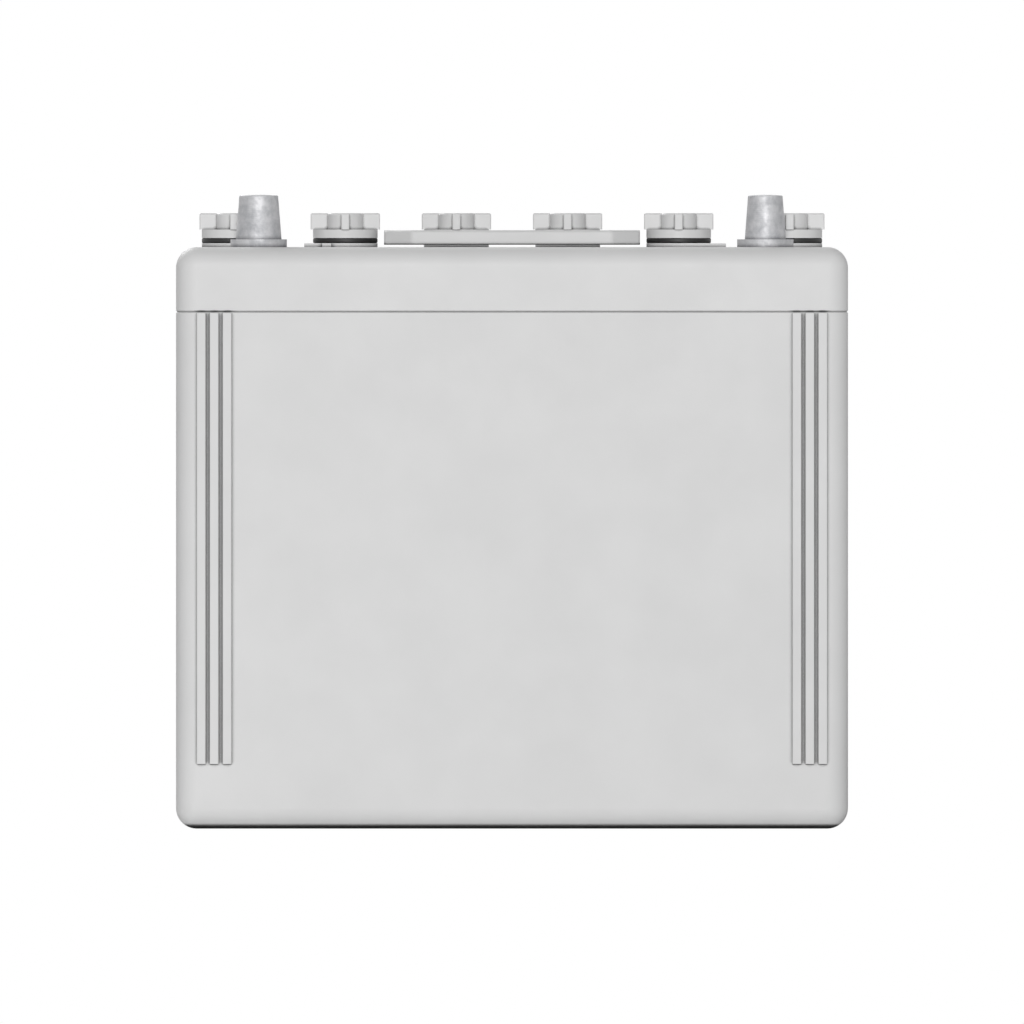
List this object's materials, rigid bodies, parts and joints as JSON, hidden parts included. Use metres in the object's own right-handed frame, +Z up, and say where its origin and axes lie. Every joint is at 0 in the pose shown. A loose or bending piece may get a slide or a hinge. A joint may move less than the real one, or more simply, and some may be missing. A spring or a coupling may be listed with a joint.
{
  "type": "flooded lead-acid battery",
  "caption": "Rectangular flooded lead-acid battery with winged screw-in vent caps, taper posts and a folding carry handle.",
  "frame": {"origin": "centre of the flat underside", "axes": "+X along the row of cells towards the negative post, +Y from the terminal side to the rear, +Z up"},
  "size_m": [0.26, 0.173, 0.245],
  "materials": {
    "case_plastic": "moulded polypropylene, satin",
    "cover_plastic": "moulded polypropylene, satin",
    "handle_plastic": "moulded polypropylene, fine texture",
    "cap_plastic": "moulded polypropylene, smooth",
    "seal_rubber": "moulded EPDM, matt",
    "cast_lead": "cast lead alloy, dull",
    "plate_lead": "pasted lead plates, matt",
    "separator_plastic": "microporous polyethylene, matt",
    "arrestor_plastic": "sintered porous polypropylene",
    "pin_steel": "drawn stainless steel"
  },
  "bodies": {
    "root": {"container": "case_plastic", "cover": "cover_plastic", "positive_bushing": "cast_lead", "negative_bushing": "cast_lead", "handle_pins": "pin_steel", "intercell_welds": "cast_lead", "positive_group_1": "plate_lead", "negative_group_1": "plate_lead", "positive_group_2": "plate_lead", "negative_group_2": "plate_lead", "positive_group_3": "plate_lead", "negative_group_3": "plate_lead", "positive_group_4": "plate_lead", "negative_group_4": "plate_lead", "positive_group_5": "plate_lead", "negative_group_5": "plate_lead", "positive_group_6": "plate_lead", "negative_group_6": "plate_lead", "separators_1": "separator_plastic", "separators_2": "separator_plastic", "separators_3": "separator_plastic", "separators_4": "separator_plastic", "separators_5": "separator_plastic", "separators_6": "separator_plastic"},
    "handle": {"handle": "handle_plastic"},
    "vent_seal_1": {"vent_seal_1": "seal_rubber"},
    "vent_cap_1": {"vent_cap_1": "cap_plastic", "flame_arrestor_1": "arrestor_plastic", "splash_baffle_1": "cap_plastic"},
    "vent_seal_2": {"vent_seal_2": "seal_rubber"},
    "vent_cap_2": {"vent_cap_2": "cap_plastic", "flame_arrestor_2": "arrestor_plastic", "splash_baffle_2": "cap_plastic"},
    "vent_seal_3": {"vent_seal_3": "seal_rubber"},
    "vent_cap_3": {"vent_cap_3": "cap_plastic", "flame_arrestor_3": "arrestor_plastic", "splash_baffle_3": "cap_plastic"},
    "vent_seal_4": {"vent_seal_4": "seal_rubber"},
    "vent_cap_4": {"vent_cap_4": "cap_plastic", "flame_arrestor_4": "arrestor_plastic", "splash_baffle_4": "cap_plastic"},
    "vent_seal_5": {"vent_seal_5": "seal_rubber"},
    "vent_cap_5": {"vent_cap_5": "cap_plastic", "flame_arrestor_5": "arrestor_plastic", "splash_baffle_5": "cap_plastic"},
    "vent_seal_6": {"vent_seal_6": "seal_rubber"},
    "vent_cap_6": {"vent_cap_6": "cap_plastic", "flame_arrestor_6": "arrestor_plastic", "splash_baffle_6": "cap_plastic"}
  },
  "joints": [
    {"name": "handle_fold", "type": "hinge", "parent": "root", "child": "handle", "pos_m": [0, 0, 0.2287], "axis": [-1, 0, 0], "range_deg": [0, 180]},
    {"name": "vent_cap_1_rise", "type": "slide", "parent": "root", "child": "vent_seal_1", "axis": [0, 0, 1], "range_m": [0, 0.0121]},
    {"name": "vent_cap_1_turn", "type": "hinge", "parent": "vent_seal_1", "child": "vent_cap_1", "pos_m": [-0.1075, -0.018, 0.2285], "axis": [0, 0, 1], "range_deg": [0, 1440]},
    {"name": "vent_cap_2_rise", "type": "slide", "parent": "root", "child": "vent_seal_2", "axis": [0, 0, 1], "range_m": [0, 0.0121]},
    {"name": "vent_cap_2_turn", "type": "hinge", "parent": "vent_seal_2", "child": "vent_cap_2", "pos_m": [-0.0645, -0.018, 0.2285], "axis": [0, 0, 1], "range_deg": [0, 1440]},
    {"name": "vent_cap_3_rise", "type": "slide", "parent": "root", "child": "vent_seal_3", "axis": [0, 0, 1], "range_m": [0, 0.0121]},
    {"name": "vent_cap_3_turn", "type": "hinge", "parent": "vent_seal_3", "child": "vent_cap_3", "pos_m": [-0.0215, -0.018, 0.2285], "axis": [0, 0, 1], "range_deg": [0, 1440]},
    {"name": "vent_cap_4_rise", "type": "slide", "parent": "root", "child": "vent_seal_4", "axis": [0, 0, 1], "range_m": [0, 0.0121]},
    {"name": "vent_cap_4_turn", "type": "hinge", "parent": "vent_seal_4", "child": "vent_cap_4", "pos_m": [0.0215, -0.018, 0.2285], "axis": [0, 0, 1], "range_deg": [0, 1440]},
    {"name": "vent_cap_5_rise", "type": "slide", "parent": "root", "child": "vent_seal_5", "axis": [0, 0, 1], "range_m": [0, 0.0121]},
    {"name": "vent_cap_5_turn", "type": "hinge", "parent": "vent_seal_5", "child": "vent_cap_5", "pos_m": [0.0645, -0.018, 0.2285], "axis": [0, 0, 1], "range_deg": [0, 1440]},
    {"name": "vent_cap_6_rise", "type": "slide", "parent": "root", "child": "vent_seal_6", "axis": [0, 0, 1], "range_m": [0, 0.0121]},
    {"name": "vent_cap_6_turn", "type": "hinge", "parent": "vent_seal_6", "child": "vent_cap_6", "pos_m": [0.1075, -0.018, 0.2285], "axis": [0, 0, 1], "range_deg": [0, 1440]}
  ],
  "couplings": [
    {"joint": "vent_cap_1_rise", "follows": "vent_cap_1_turn", "m_per_rad": 0.00047746},
    {"joint": "vent_cap_2_rise", "follows": "vent_cap_2_turn", "m_per_rad": 0.00047746},
    {"joint": "vent_cap_3_rise", "follows": "vent_cap_3_turn", "m_per_rad": 0.00047746},
    {"joint": "vent_cap_4_rise", "follows": "vent_cap_4_turn", "m_per_rad": 0.00047746},
    {"joint": "vent_cap_5_rise", "follows": "vent_cap_5_turn", "m_per_rad": 0.00047746},
    {"joint": "vent_cap_6_rise", "follows": "vent_cap_6_turn", "m_per_rad": 0.00047746}
  ]
}
